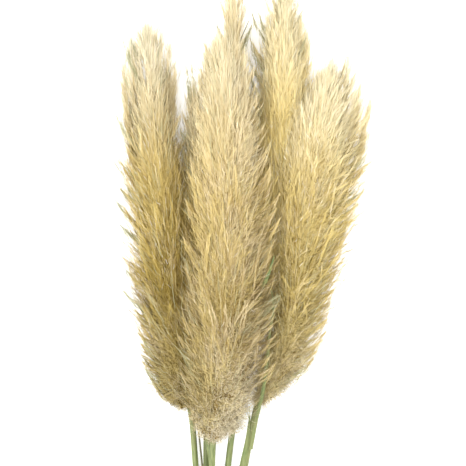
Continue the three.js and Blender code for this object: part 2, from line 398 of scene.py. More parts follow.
def ribbons(hairs, rng, roll):
    points = hairs["points"]
    n = len(points[0])
    facing = normalised(hairs["outward"] + rng.normal(0, roll, (n, 3)))
    wide = (hairs["wide"] / 2)[:, None]
    profile = (0.8, 1.0)
    spots = []
    for k in range(hairSegments):
        forward = points[k + 1] - points[max(k - 1, 0)]
        across = normalised(np.cross(forward, facing)) * wide * profile[k]
        spots += [points[k] - across, points[k] + across]
    spots.append(points[hairSegments])
    return np.stack(spots, 1)


pressPlan = {"lowest": 0.35, "from": 104, "share": 0.3}  # heights: off the floor, and pressed down on top


def hairMesh(name, hairs, material):
    spots = hairs["spots"].copy()
    high = spots[..., 2]
    pressed = pressPlan["from"] + pressPlan["share"] * (high - pressPlan["from"])
    spots[..., 2] = np.where(high > pressPlan["from"], pressed, np.maximum(high, pressPlan["lowest"]))
    n = len(spots)
    mesh = bpy.data.meshes.new(name)
    per = 2 * hairSegments + 1
    mesh.vertices.add(n * per)
    mesh.vertices.foreach_set("co", place(spots.reshape(-1, 3)).ravel())
    one = [0, 1, 3, 2, 2, 3, 4]
    corners = (np.arange(n)[:, None] * per + np.array(one)).ravel()
    mesh.loops.add(len(corners))
    mesh.loops.foreach_set("vertex_index", corners)
    mesh.polygons.add(hairSegments * n)
    starts = (np.arange(n)[:, None] * len(one) + np.array([0, 4])).ravel()
    mesh.polygons.foreach_set("loop_start", starts)
    mesh.polygons.foreach_set("use_smooth", np.ones(hairSegments * n, bool))
    mesh.update(calc_edges=True)
    column, start, end, share = (hairs[key] for key in ("column", "from", "to", "share"))
    sideStep = 0.003
    across = np.zeros((n, per))
    upward = np.zeros((n, per))
    for k in range(per):
        tipward = start + (end - start) * min(k // 2, hairSegments) / hairSegments
        across[:, k] = (column + mapEdge + (1 - 2 * mapEdge) * np.clip(tipward, 0, 1)) / columnCount
        upward[:, k] = np.clip(share, 0.01, 0.99) + (0 if k == per - 1 else (-sideStep, sideStep)[k % 2])
    layer = mesh.uv_layers.new(name="OFBake")
    flat = np.stack([across.ravel()[corners], upward.ravel()[corners]], -1)
    layer.data.foreach_set("uv", flat.ravel())
    # the hairs shade softly, as the plume's own round shape does
    normals = normalised(hairs["outward"] * 0.8 + hairs["own"] * 0.2)
    mesh.normals_split_custom_set_from_vertices(np.repeat(normals, per, axis=0).tolist())
    mesh.materials.append(material)
    mesh.validate()
    piece = bpy.data.objects.new(name, mesh)
    bpy.context.scene.collection.objects.link(piece)
    return piece


def asRibbons(hairs, rng, roll):
    spots = ribbons(hairs, rng, roll)
    own = normalised(np.cross(spots[:, 1] - spots[:, 0], spots[:, -1] - spots[:, 0]))
    column = np.clip(np.floor(hairs["tone"] + 0.5), 0, toneCount - 1) + toneCount * (hairs["rosy"] > 0.5)
    column = np.where(hairs["special"] > 0, hairs["special"], column)
    return {"spots": spots, "column": column, "from": hairs["from"], "to": hairs["to"],
            "outward": hairs["outward"], "own": own}


def sprays(plan, rng):  # thin fronds that stand off either side, each a small spindle of its own
    body = Plume(plan)
    found = []
    for side, count, low, high, length, opening, grey in plan["sprays"]:
        for k in range(count):
            share = low + (high - low) * (k + rng.uniform(0.2, 0.8)) / count
            height = body.low + share * (body.high - body.low)
            middle = body.frameAt(np.array(height))[0]
            lean = min(atHeight(plan, "openness", share) * opening * rng.uniform(0.8, 1.2), 58)
            size = length * rng.uniform(0.75, 1.2)
            spot = middle + [side * 0.86 * body.halfWidth(height), 0, rng.uniform(-6, 6)]
            route = [spot]
            for turn in (6, -5):
                heading = math.radians(lean + turn)
                spot = spot + np.array([side * math.sin(heading), math.cos(heading), 0]) * size / 2
                route.append(spot)
            start, end = route[0][1], route[2][1]
            wide = plan["sprayWide"] * rng.uniform(0.7, 1.2)
            found.append({**plan, **plan["sprayStyle"], "route": [list(point) for point in route],
                          "outline": [[start, wide * 0.8], [start + 0.4 * (end - start), wide], [end, 0.4]],
                          "greyShare": 1 if rng.random() < grey else 0})
    return found


def outsideHollows(whole, plan):  # small gaps that show the plume's inside, or the floor
    kept = np.ones(len(whole["share"]), bool)
    middle = whole["spots"][:, 2]
    for x, y, long, wide, tilt, through in plan["hollows"]:
        dx, dy = middle[:, 0] - x, middle[:, 1] - y
        c, d = math.cos(math.radians(tilt)), math.sin(math.radians(tilt))
        within = ((dx * c + dy * d) / long) ** 2 + ((dy * c - dx * d) / wide) ** 2 < 1
        kept &= ~(within & (through | (whole["column"] % toneCount > 2)))
    return kept


def makePlume(name, plan, material):
    rng = np.random.default_rng(plan["seed"])
    amount = 1.0
    parts = []
    spindles = [plan]
    for route, outline in plan["hanks"]:
        spindles.append({**plan, **plan["hankStyle"], "route": route, "outline": outline})
    spindles += [{**plan, **plan["wispStyle"], **wisp} for wisp in plan["wisps"]] + sprays(plan, rng)
    for spindle in spindles:
        spindle = {**spindle, "locks": max(3, int(spindle["locks"] * amount))}
        shape = Plume(spindle)
        fronds = growFronds(shape, spindle, rng)
        parts.append(asRibbons(combHairs(fronds, spindle, rng), rng, spindle["roll"]))
        parts.append(asRibbons(frondBranches(fronds, spindle), rng, 0.3))
        if spindle["inner"]:
            parts.append(asRibbons(innerHairs(shape, spindle, rng), rng, 0.35))
        if spindle["strays"]:
            parts.append(asRibbons(strayHairs(shape, spindle, rng), rng, 0.6))
    whole = {key: np.concatenate([part[key] for part in parts]) for key in parts[0]}
    # the height along the whole plume sets the colour, in its hanks and wisps too
    low, high = plan["outline"][0][0], plan["outline"][-1][0]
    whole["share"] = np.clip((whole["spots"][:, 0, 1] - low) / (high - low), 0, 1)
    order = np.argsort(whole["share"], kind="stable")
    order = order[outsideHollows(whole, plan)[order]]
    labels = {1: [""], 2: ["_lower", "_upper"], 3: ["_lower", "_middle", "_upper"]}[plan["pieces"]]
    pieces = []
    for label, cut in zip(labels, np.array_split(order, plan["pieces"])):
        pieces.append(hairMesh(name + label, {key: values[cut] for key, values in whole.items()}, material))
    print(f"{name}: {len(order)} hairs, {3 * len(order)} triangles in {len(pieces)} pieces")
    return pieces


commonPlume = {
    # along the plume, from its foot at 0 to its tip at 1
    "at": [0, 0.04, 0.12, 0.3, 0.6, 0.85, 1], "openness": [96, 84, 66, 47, 35, 22, 10],
    "frondLength": [10, 14, 24, 40, 54, 54, 42], "hairLength": [10, 11, 12, 13, 15, 17, 17],
    "spread": [46, 43, 40, 36, 30, 25, 18], "curl": [0.1, 0.09, 0.08, 0.06, 0.05, 0.04, 0.04],
    "contrast": [1.3, 1.5, 1.6, 1.35, 0.7, 0.3, 0.25], "rootShade": [0.8, 1, 1, 1, 0.8, 0.4, 0.25],
    "tangle": [1.4, 1.3, 1.3, 1.2, 1.0, 0.8, 0.8], "tone": [4.0, 3.5, 3.2, 3.5, 4.2, 4.9, 5.2],
    "sideToneAt": [0, 0.6, 1, 1, 0.6, 0, 0], "innerTone": [0.5, 0.5, 0.5, 0.8, 2.4, 4.4, 5],
    "rosyAt": [0.3, 0.2, 0.1, 0.05, 0, 0, 0], "outTail": [0.01, 0.02, 0.04, 0.05, 0.07, 0.1, 0.12],
    "glintAt": [0, 0, 0, 0.1, 0.8, 1.5, 1.5],
    # pairs are for the left and right sides
    "sideOpen": (0.9, 0.9), "sideTone": (0, 0), "sideRosy": (0.35, 0.35),
    "greyShare": 0, "glints": 0.012, "mottled": 0.8, "under": 0.35,
    "lockLean": 0.2, "lockSwing": 0.22, "lockTone": 0.8, "lockOut": 0.03, "lockTall": 10, "lockWide": 4,
    "frondsPerLock": 12, "frondLean": 0.2, "frondSwing": 0.28, "frondTone": 0.5, "outLow": 0.58,
    "outHigh": 0.9, "outBias": 0.9, "loose": 3.8, "bend": 4, "bendVaries": 9, "hairsPerFrond": 7,
    "hairFrom": 0.05, "hairTone": 1.5, "hairWide": 0.34, "roll": 0.4, "inner": 2400, "innerWide": 2.4,
    "strays": 1500, "strayGrey": 0.3, "strayLength": 24, "strayTone": 4.0, "strayWide": 0.34,
    "branchWide": 0.3, "pieces": 2, "startAt": 0, "hanks": [], "wisps": [], "hollows": [], "sprays": [],
    "sprayWide": 2.6,
    # sprays: side, how many, from and to where along the plume, length, openness, share of grey
    "sprayStyle": {
        "locks": 7, "frondsPerLock": 3, "hairsPerFrond": 14, "under": 1, "depth": 0.8,
        "openness": [14, 14, 13, 12, 11, 9, 6], "lockTall": 5, "lockWide": 1.5, "frondLength": [24] * 7,
        "hairLength": [10, 10, 10, 10, 9, 8, 7], "inner": 0, "strays": 5, "strayLength": 18,
        "sideOpen": (1, 1), "outLow": 0.2, "outHigh": 0.9, "outTail": [0.02] * 7, "spread": [8] * 7,
        "tangle": [0.8] * 7, "curl": [0.03] * 7, "loose": 0.5, "hairWide": 0.3, "sideTone": (0, 0),
    },
    "hankStyle": {
        "locks": 40, "frondsPerLock": 6, "under": 0.7, "depth": 0.8, "lockTall": 8, "lockWide": 3,
        "openness": [30, 26, 22, 18, 16, 12, 8], "frondLength": [26, 28, 30, 30, 28, 26, 20],
        "hairLength": [14] * 7, "inner": 30, "innerWide": 1.2, "strays": 40, "strayLength": 22,
        "sideOpen": (1, 1), "outLow": 0.5, "outHigh": 1.2, "outBias": 1.2, "spread": [13] * 7,
        "tangle": [1] * 7, "curl": [0.03] * 7, "loose": 1.2,
    },
    "wispStyle": {
        "locks": 24, "sides": [0, math.pi], "sideSpread": 0.5, "openness": [70, 56, 44, 34, 26, 18, 10],
        "frondsPerLock": 3, "outLow": 0.96, "outHigh": 1.3, "outBias": 1, "lockTall": 2, "lockWide": 1.2,
        "lockTone": 1.1, "inner": 0, "loose": 0.8, "strays": 400, "strayLength": 42, "hairsPerFrond": 26,
        "frondLength": [20, 30, 44, 60, 70, 60, 40], "spread": [9] * 7, "hairLength": [16] * 7,
        "tangle": [1] * 7, "curl": [0.02] * 7, "startAt": 0.25,
    },
}

greyHank = {
    "greyShare": 1, "locks": 5, "openness": [34] * 7, "strays": 3, "inner": 4, "hairLength": [8] * 7,
    "hairWide": 0.28,
}

# routes are x, y and height; outlines are y and half the width; a hank is a route and an outline; hollows are
# x, y, half their length and width, their tilt and whether the floor shows
plumes = {
    "centre_front": {
        "seed": 11, "slot": "plume_cream", "locks": 1250, "depth": 0.7, "pieces": 3,
        "sideOpen": (0.5, 1.35), "sideRosy": (0.2, 0.6), "tone": [4.5, 4.0, 3.1, 2.7, 3.4, 4.7, 5.1],
        "hollows": [
            (16, 368, 7, 2.6, 25, False), (10.5, 357, 3, 2, 0, False), (18.5, 272, 4, 3, 0, False),
            (60, 352, 3, 7, -20, False), (30, 392, 6, 2, 35, False), (4, 330, 5, 1.8, 60, False),
        ],
        "sprays": [(1, 34, 0.12, 0.97, 26, 1.1, 0.04), (-1, 18, 0.12, 0.97, 18, 0.9, 0.04)],
        "sideTone": (1.4, 0.9),
        "route": [
            [-1.2, 183, 36], [1, 222, 40], [9, 260, 45], [15, 330, 54], [16, 400, 62], [20, 480, 68],
            [17, 560, 71], [14, 640, 69], [7, 695, 64], [6, 731, 58],
        ],
        "outline": [
            [219, 11], [226, 26], [238, 36], [262, 43], [326, 50], [400, 49], [500, 48], [572, 39],
            [640, 30], [675, 21], [700, 10], [714, 3],
        ],
        "hanks": [
            ([[4, 600, 70], [-4, 650, 67], [-9, 690, 61]], [[600, 5], [650, 8], [670, 6], [690, 2]]),
            ([[12, 620, 72], [6, 670, 68], [2, 702, 60]], [[620, 5], [665, 8], [685, 6], [702, 2]]),
            ([[18, 630, 72], [16, 680, 68], [14, 714, 60]], [[630, 5], [675, 8], [695, 6], [714, 2]]),
            ([[22, 610, 71], [26, 660, 67], [29, 700, 60]], [[610, 5], [660, 8], [682, 6], [700, 2]]),
            ([[28, 580, 70], [34, 630, 67], [39, 686, 60]], [[580, 5], [630, 8], [660, 7], [686, 2]]),
        ],
        "wisps": [
            {"locks": 70, "sides": [0, 1.1], "outHigh": 1.16},
            {"locks": 50, "sides": [1.6, math.pi], "outHigh": 1.08},
        ],
    },
    "left": {
        "seed": 12, "slot": "plume_golden", "locks": 1000, "depth": 0.68, "pieces": 3,
        # its right side is darkened as painted shadow from the front plume
        "sideOpen": (0.85, 0.7), "sideTone": (1.0, -5.5), "sideRosy": (0.12, 0.12),
        "tone": [4.4, 4.1, 4.0, 4.3, 5.5, 5.6, 5.6], "glints": 0.02,
        "hollows": [
            (-86, 672, 24, 3.2, 100, True), (-72, 640, 12, 1.6, 82, True), (-96, 640, 14, 1.8, 104, True),
        ],
        "sprays": [
            (-1, 9, 0.45, 0.94, 54, 0.85, 0.75), (-1, 12, 0.2, 0.95, 36, 1.0, 0.5),
            (1, 10, 0.5, 0.97, 24, 0.9, 0.2), (-1, 16, 0.02, 0.24, 16, 1.0, 0.4),
        ],
        "route": [
            [-22.5, 183, 11], [-27, 240, 15], [-33, 270, 18], [-41, 326, 23], [-50, 410, 26.5],
            [-62, 500, 27.5], [-72, 580, 27], [-77, 650, 25], [-82, 700, 21], [-83, 732, 17],
        ],
        "outline": [
            [259, 16], [264, 27], [273, 36], [300, 41], [370, 43], [450, 45], [510, 40], [572, 32],
            [640, 20], [690, 12], [716, 8], [732, 3],
        ],
        "hanks": [
            (
                [[-78, 620, 27], [-81, 670, 24], [-83.6, 733, 17]],
                [[620, 6], [670, 11], [705, 10], [733, 2]],
            ),
            ([[-88, 590, 27], [-98, 650, 23], [-105, 711, 16]], [[590, 5], [650, 10], [685, 8], [711, 2]]),
            (
                [[-98, 560, 25], [-107, 620, 21], [-113, 683, 15]],
                [[560, 5], [620, 8], [655, 6], [683, 1.5]],
            ),
            ([[-76, 600, 27], [-70, 660, 23], [-65, 721, 16]], [[600, 5], [660, 10], [695, 8], [721, 2]]),
            ([[-66, 580, 25], [-59, 640, 21], [-55, 704, 15]], [[580, 5], [640, 8], [675, 6], [704, 2]]),
            ([[-60, 560, 24], [-53, 615, 20], [-48, 680, 15]], [[560, 5], [615, 7], [650, 5], [680, 1.5]]),
        ],
        "wisps": [
            {"locks": 80, "sides": [math.pi, 2.7], "outHigh": 1.25},
            {"locks": 60, "sides": [0, 1.2], "outHigh": 1.12},
        ],
    },
    "right": {
        "seed": 13, "slot": "plume_straw", "locks": 1000, "depth": 0.6, "pieces": 3,
        # its left side is darkened as painted shadow from the front plume beside it
        "sideOpen": (0.65, 1.65), "sideTone": (-3.2, 0.5), "sideRosy": (0.2, 0.2),
        "tone": [5.0, 5.6, 5.7, 5.7, 5.4, 5.3, 5.3], "glints": 0.025,
        "hollows": [
            (160, 566, 10, 1.5, 52, True), (168, 590, 10, 1.8, 56, True), (158, 610, 9, 1.6, 62, True),
            (150, 584, 8, 1.6, 55, True), (172, 560, 9, 1.8, 48, True), (149, 545, 8, 1.5, 48, True),
        ],
        "sprays": [
            (1, 26, 0.5, 0.97, 44, 1.35, 0.12), (1, 22, 0.04, 0.5, 24, 1.1, 0.12),
            (-1, 10, 0.5, 0.95, 22, 0.9, 0.1),
        ],
        "route": [
            [40.6, 183, 10], [50.8, 240, 14], [58, 265, 16], [75, 290, 18], [91, 330, 20], [102, 400, 23],
            [111, 470, 27], [121, 540, 30], [131, 600, 30], [139, 645, 28], [147, 681, 25],
        ],
        "outline": [
            [261, 7], [271, 15], [286, 23], [314, 31], [387, 35], [440, 43], [500, 51], [560, 51],
            [600, 42], [636, 29], [660, 16], [681, 3],
        ],
        "hanks": [
            ([[138, 580, 30], [143, 630, 28], [147.5, 684, 24]], [[580, 6], [630, 12], [660, 9], [684, 2]]),
            ([[146, 560, 29], [158, 610, 26], [167, 670, 20]], [[560, 6], [610, 11], [645, 8], [670, 2]]),
            ([[154, 540, 28], [172, 590, 24], [184, 655, 18]], [[540, 4], [590, 6], [625, 4], [655, 1]]),
            ([[160, 520, 26], [182, 572, 22], [196, 634, 16]], [[520, 3], [572, 5], [605, 3.5], [634, 1]]),
            ([[126, 570, 30], [130, 620, 28], [134, 668, 22]], [[570, 6], [620, 10], [645, 8], [668, 2]]),
            ([[112, 560, 29], [115, 605, 26], [119, 650, 20]], [[560, 5], [605, 9], [630, 6], [650, 2]]),
        ],
        "wisps": [
            {"locks": 90, "sides": [0, 0.5], "outHigh": 1.34},
            {"locks": 60, "sides": [1.4, math.pi], "outHigh": 1.12},
        ],
    },
    "right_back": {
        "seed": 14, "slot": "plume_straw", "locks": 640, "depth": 0.7, "sideOpen": (0.7, 0.8),
        # painted light: its tones are raised to lift the shade that the plumes in front cast on it
        "outLow": 0.76, "tone": [6.4, 6.4, 6.4, 6.5, 6.5, 5.8, 5.4], "sideRosy": (0.1, 0.15),
        "contrast": [0.7, 0.6, 0.5, 0.45, 0.4, 0.3, 0.25], "innerTone": [3.5, 4, 4.5, 5, 5, 5, 5],
        "sprays": [(-1, 13, 0.5, 0.97, 40, 0.9, 0.6), (1, 14, 0.5, 0.97, 32, 0.9, 0.2)],
        "route": [
            [18.8, 183, 15], [24.5, 228, 15.5], [36, 300, 15.5], [47, 350, 16], [59, 400, 17],
            [70, 460, 19], [80, 540, 21], [86, 633, 22], [87, 720, 22], [89, 790, 20],
        ],
        "outline": [
            [330, 9], [346, 18], [387, 27], [450, 31], [540, 34], [620, 33], [680, 27], [715, 19], [750, 9],
            [790, 2.5],
        ],
        "hanks": [
            ([[78, 640, 22], [72, 690, 21], [68, 740, 17]], [[640, 5], [690, 8], [715, 6], [740, 2]]),
            ([[94, 650, 22], [104, 700, 20], [111, 745, 16]], [[650, 5], [700, 9], [725, 7], [745, 2]]),
            ([[98, 620, 21], [110, 670, 19], [118, 715, 15]], [[620, 5], [670, 8], [695, 6], [715, 2]]),
        ],
        "wisps": [{"locks": 120, "sides": [0, 1.2, 2.2, math.pi]}],
    },
    "left_back": {
        "hankStyle": {**commonPlume["hankStyle"], **greyHank}, "seed": 15, "slot": "plume_golden",
        "locks": 360, "depth": 0.68, "pieces": 1, "inner": 900, "strays": 250,
        "route": [
            [-1, 170, 18], [-8.6, 225, 19], [-14, 290, 18], [-17, 360, 17.5], [-19, 449, 17.5],
            [-21, 530, 18], [-23.5, 627, 18], [-26, 680, 16], [-30, 711, 13],
        ],
        "outline": [
            [318, 9], [340, 19], [387, 28], [449, 30], [510, 27], [560, 18], [600, 8], [632, 4.5], [652, 1],
        ],
        "hanks": [
            ([[-22, 630, 18], [-27, 680, 16], [-32, 711, 13]], [[630, 3], [680, 2.2], [711, 0.5]]),
            ([[-22, 620, 18], [-30, 655, 16], [-37, 688, 13]], [[620, 3], [655, 2.2], [688, 0.5]]),
        ],
        "tone": [3.5, 3.2, 3, 3, 3, 2, 1], "greyShare": 0.1, "innerWide": 1.2,
        "sprays": [(-1, 6, 0.66, 0.99, 22, 1.1, 0.7), (1, 4, 0.6, 0.98, 16, 1.0, 0.5)],
        "wisps": [{"locks": 60, "sides": [0, 1.2, 2.2, math.pi]}],
    },
    "centre_back": {
        "sprays": [(-1, 5, 0.7, 0.98, 30, 1.0, 0.3), (1, 4, 0.7, 0.98, 24, 0.9, 0.2)], "seed": 16,
        "slot": "plume_cream", "locks": 380, "depth": 0.62, "pieces": 1, "inner": 900, "strays": 250,
        "route": [
            [-8.9, 183, 8.5], [-8, 232, 9], [4, 300, 10], [16, 350, 12], [24, 410, 15], [28, 500, 17.5],
            [28, 600, 17.5], [26, 683, 16], [23, 786, 13],
        ],
        "outline": [
            [334, 8], [350, 18], [395, 28], [460, 32], [520, 33], [580, 30], [633, 24], [690, 15],
            [735, 8.5], [786, 2.5],
        ],
        "wisps": [{"locks": 60, "sides": [0, 1.2, 2.2, math.pi]}],
    },
}

commonLook = {"roughness": 0.75, "gloss": 0.06, "toneReach": 0.8, "rootToTipPaintedShade": 0.3, "toneStart": -0.05,
              "stopsPale": (0, 0.3, 0.6, 1), "stopsDeep": (0, 0.3, 0.6, 1)}

# each shade's colours up the plume, from its foot to its tip; the deep colours give the hair's own darker
# tones and also the painted shade inside the plume
hairLooks = {
    "plume_cream": {
        "stopsPale": (0, 0.25, 0.6, 1), "stopsDeep": (0, 0.25, 0.55, 1),
        "goldenPale": [(232, 216, 162), (230, 208, 138), (240, 220, 154), (254, 245, 218)],
        "goldenDeep": [(116, 92, 36), (122, 94, 34), (160, 130, 56), (220, 200, 146)],
        "rosyPale": [(240, 230, 200), (236, 218, 174), (246, 228, 182), (254, 246, 220)],
        "rosyDeep": [(128, 104, 56), (132, 104, 52), (164, 136, 76), (212, 188, 134)],
        "grey": (186, 182, 142), "glint": (255, 250, 232),
    },
    "plume_golden": {
        "goldenPale": [(218, 198, 134), (214, 188, 104), (232, 210, 138), (254, 248, 230)],
        "goldenDeep": [(86, 66, 20), (96, 72, 16), (152, 122, 46), (224, 208, 160)],
        "rosyPale": [(226, 212, 172), (226, 206, 156), (240, 222, 176), (252, 244, 218)],
        "rosyDeep": [(110, 86, 40), (112, 86, 36), (158, 130, 70), (208, 188, 136)],
        "grey": (186, 184, 146), "glint": (255, 252, 238),
    },
    "plume_straw": {
        "goldenPale": [(236, 218, 160), (232, 210, 134), (246, 226, 154), (254, 248, 226)],
        "goldenDeep": [(120, 98, 44), (124, 98, 36), (168, 138, 60), (224, 206, 152)],
        "rosyPale": [(234, 220, 180), (236, 218, 170), (246, 230, 182), (252, 244, 216)],
        "rosyDeep": [(132, 108, 56), (136, 110, 56), (174, 146, 82), (212, 190, 136)],
        "grey": (190, 184, 144), "glint": (255, 252, 236),
    },
}

print("plumes")
for slotName, look in hairLooks.items():
    look["material"] = hairFinish(slotName, {**commonLook, **look})
for label, plan in plumes.items():
    plan = {**commonPlume, **plan}
    for piece in makePlume("plume_" + label, plan, hairLooks[plan["slot"]]["material"]):
        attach(piece, "root")
        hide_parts("plume_" + label)


def smoothLine(points, heights):  # x and z at each height, with no swing past the points
    points = np.array(points, float)
    y = points[:, 1]
    found = []
    for values in (points[:, 0], points[:, 2]):
        rise = np.diff(values) / np.diff(y)
        slope = np.zeros(len(y))
        for i in range(1, len(y) - 1):
            if rise[i - 1] * rise[i] > 0:
                slope[i] = 2 * rise[i - 1] * rise[i] / (rise[i - 1] + rise[i])
        slope[0], slope[-1] = rise[0], rise[-1]
        k = np.clip(np.searchsorted(y, heights, side="right") - 1, 0, len(y) - 2)
        span = y[k + 1] - y[k]
        t = (heights - y[k]) / span
        found.append((2 * t ** 3 - 3 * t ** 2 + 1) * values[k] + (t ** 3 - 2 * t ** 2 + t) * span * slope[k]
                     + (3 * t ** 2 - 2 * t ** 3) * values[k + 1] + (t ** 3 - t ** 2) * span * slope[k + 1])
    return place(np.stack([found[0], heights, found[1]], -1))


def startEditing(mode="VERT"):
    bpy.ops.object.mode_set(mode="EDIT")
    bpy.ops.mesh.select_mode(type=mode)


def selectFaces(piece, wanted):  # by a test of each face, in object mode and back
    bpy.ops.mesh.select_all(action="DESELECT")
    bpy.ops.object.mode_set(mode="OBJECT")
    for face in piece.data.polygons:
        face.select = bool(wanted(face))
    startEditing("FACE")


def settle(piece, name, slotName, *nodes):  # the piece's place goes into its mesh
    bpy.ops.object.mode_set(mode="OBJECT")
    bpy.ops.object.transform_apply(location=True, rotation=True, scale=True)
    piece.name = name
    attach(piece, "root")
    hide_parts(*nodes)
    return piece


stalkPlan = {
    "radius": 4.3, "thinning": 0.6, "sides": 18, "step": 11, "joints": [-95, 96], "jointRise": 0.3,
    "endSlant": (0.25, 1, 0.75), "rind": 0.75, "reach": 60, "light": tint(134, 144, 90),
    "dark": tint(92, 104, 60), "blush": tint(140, 136, 88), "pith": tint(206, 196, 150),
    "ring": tint(128, 118, 70),
    # the cut end, x and height in the tie, the plume's foot, and the points shared with the plume
    "stalks": {
        "centre_front": {"foot": [2, -199, 23.4], "tied": (0, 23.46), "top": 221, "shared": 4},
        "left": {"foot": [-15, -203, 5.2], "tied": (-9.65, 6.75), "top": 259, "shared": 4},
        "right": {"foot": [15, -196, 5.2], "tied": (9.65, 6.75), "top": 261, "shared": 5},
        "right_back": {"foot": [8.5, -190, 13.9], "tied": (4.83, 15.11), "top": 330, "shared": 5},
        "left_back": {"foot": [-7, -194, 13.9], "tied": (-4.83, 15.11), "top": 318, "shared": 5},
        "centre_back": {"foot": [0.5, -201, 5], "tied": (0, 6.75), "top": 334, "shared": 5},
    },
}


def fibrousFinish(name, light, dark, blush, roughness, fineness, ribs=0.25):
    finish = Finish(name, roughness=roughness, Specular_IOR_Level=0.35)
    spot = finish.node("ShaderNodeTexCoord", output=3)
    stretch = (fineness, fineness * 0.02, fineness)
    stretched = finish.node("ShaderNodeMapping", {"vector_type": "POINT"}, {0: spot, 3: stretch})
    fine = {"Vector": stretched, "Scale": 1.0, "Detail": 3.0, "Roughness": 0.6}
    fibres = finish.node("ShaderNodeTexNoise", None, fine)
    broad = finish.node("ShaderNodeTexNoise", None, {"Vector": spot, "Scale": 22.0, "Detail": 2.0})
    mask = finish.node("ShaderNodeMapRange", None, {0: fibres, 1: 0.36, 2: 0.64})
    patch = finish.node("ShaderNodeMapRange", None, {0: broad, 1: 0.42, 2: 0.7, 4: 0.6})
    finish.feed("Base Color", finish.mix(patch, finish.mix(mask, dark, light), blush))
    bump = finish.node("ShaderNodeBump", None, {"Strength": ribs, "Distance": 0.0004, "Height": fibres})
    finish.feed("Normal", bump)
    return finish.material


def extrudeAlong(line, sizes):  # the selected end, step by step, wider or narrower as it goes
    for here, there, before, after in zip(line, line[1:], sizes, sizes[1:]):
        bpy.ops.mesh.extrude_region_move(TRANSFORM_OT_translate={"value": tuple(there - here)})
        size = after / before
        bpy.ops.transform.resize(value=(size, 1, size), center_override=tuple(there))


def startRod(sides, radius, spot):  # its first end, upright, in edit mode
    bpy.ops.object.select_all(action="DESELECT")
    bpy.ops.mesh.primitive_circle_add(vertices=sides, radius=radius * millimetre, fill_type="NGON",
                                      location=spot, rotation=(math.pi / 2, 0, 0))
    startEditing("FACE")
    return bpy.context.object


def closeRod():  # its faces outwards
    bpy.ops.mesh.select_all(action="SELECT")
    bpy.ops.mesh.normals_make_consistent(inside=False)


def makeStalk(label, stalk, plan, finishes):
    x, z = stalk["tied"]
    route = [stalk["foot"], [x, -20, z], [x, 20, z]] + plumes[label]["route"][:stalk["shared"]]
    low = route[0][1]
    heights = list(np.arange(low - 6, stalk["top"] + plan["reach"], plan["step"]))
    for joint in plan["joints"]:
        heights = [y for y in heights if abs(y - joint) > 6] + [joint + gap for gap in (-5, -1.4, 1.4, 5)]
    heights = np.array(sorted(heights))
    line = smoothLine(route, np.maximum(heights, low))
    line[:, 1] = (heights + tieSpot[1]) * millimetre
    radii = plan["radius"] - plan["thinning"] * np.clip(heights / stalk["top"], 0, 1)
    for joint in plan["joints"]:
        radii = radii + plan["jointRise"] * (np.abs(heights - joint) < 2)
    piece = startRod(plan["sides"], radii[0], line[0])
    extrudeAlong(line, radii)
    closeRod()
    slant = Vector(plan["endSlant"]).normalized()
    cutSpot = tuple(line[0] + np.array([0, 0.006, 0]))
    bpy.ops.mesh.bisect(plane_co=cutSpot, plane_no=tuple(slant), use_fill=True, clear_inner=True)
    selectFaces(piece, lambda face: face.normal.dot(slant) < -0.98)
    bpy.ops.mesh.inset(thickness=plan["rind"] * millimetre)
    bpy.ops.object.mode_set(mode="OBJECT")
    for finish in finishes:
        piece.data.materials.append(finish)
    rings = [(joint + tieSpot[1]) * millimetre for joint in plan["joints"]]
    for face in piece.data.polygons:
        y = (piece.matrix_world @ face.center).y
        onRing = any(abs(y - ring) < 0.0012 for ring in rings)
        face.material_index = 2 if onRing else int(face.select)
    bpy.ops.object.shade_smooth_by_angle(angle=math.radians(40))
    return settle(piece, "stem_" + label, "stalk_green", "stem_" + label)


print("stalks")
stalkFinishes = [
    fibrousFinish("stalk rind", stalkPlan["light"], stalkPlan["dark"], stalkPlan["blush"], 0.45, 1300),
    fibrousFinish("stalk pith", stalkPlan["pith"], tint(176, 164, 116), tint(190, 178, 128), 0.8, 2500),
    fibrousFinish("stalk joint", stalkPlan["ring"], tint(104, 96, 56), tint(120, 104, 62), 0.6, 1300),
]
for label, stalk in stalkPlan["stalks"].items():
    makeStalk(label, stalk, stalkPlan, stalkFinishes)

leafPlans = {
    "leaf_left": {
        "slot": "leaf_dry", "width": 2.4, "cup": 0.3, "columns": 2,
        "route": [[-8, 118, 19], [-11, 150, 19.5], [-14, 183, 20], [-20.3, 241, 23], [-24, 275, 25]],
    },
    "leaf_right_long": {
        "slot": "leaf_green", "width": 4.5, "cup": 0.6, "columns": 4,
        "route": [
            [47, 200, 19], [54, 240, 26], [61.5, 273, 33], [66.5, 312, 38], [70, 348, 41], [74.5, 376, 43],
            [73, 394, 43.5], [69, 408, 43],
        ],
    },
    "leaf_right_short": {
        "slot": "leaf_green", "width": 7.5, "cup": 0.9, "columns": 4,
        "route": [[36, 330, 30], [43, 364, 36], [56, 393, 54], [67, 418, 65], [75, 442, 67]],
    },
    "leaf_back": {
        "slot": "leaf_dry", "width": 4.5, "cup": 0.6, "columns": 4,
        "route": [
            [17, 246, 30], [19, 290, 34], [24, 400, 37], [27, 520, 42], [27, 620, 43], [31, 696, 42],
            [44, 732, 41],
        ],
    },
    "sheath_right": {
        "slot": "leaf_green", "width": 9.5, "cup": 2.2, "columns": 6,
        "route": [[22, 96, 15], [29.5, 140, 15.5], [37.3, 183, 15.8], [43, 215, 17.2], [45.5, 242, 20]],
        "fibres": [
            [[45, 236, 19.4], [43.6, 243, 21], [40.5, 253, 23]],
            [[45.4, 236, 19.4], [45.6, 244, 21.5], [45, 254, 24]],
        ],
    },
}
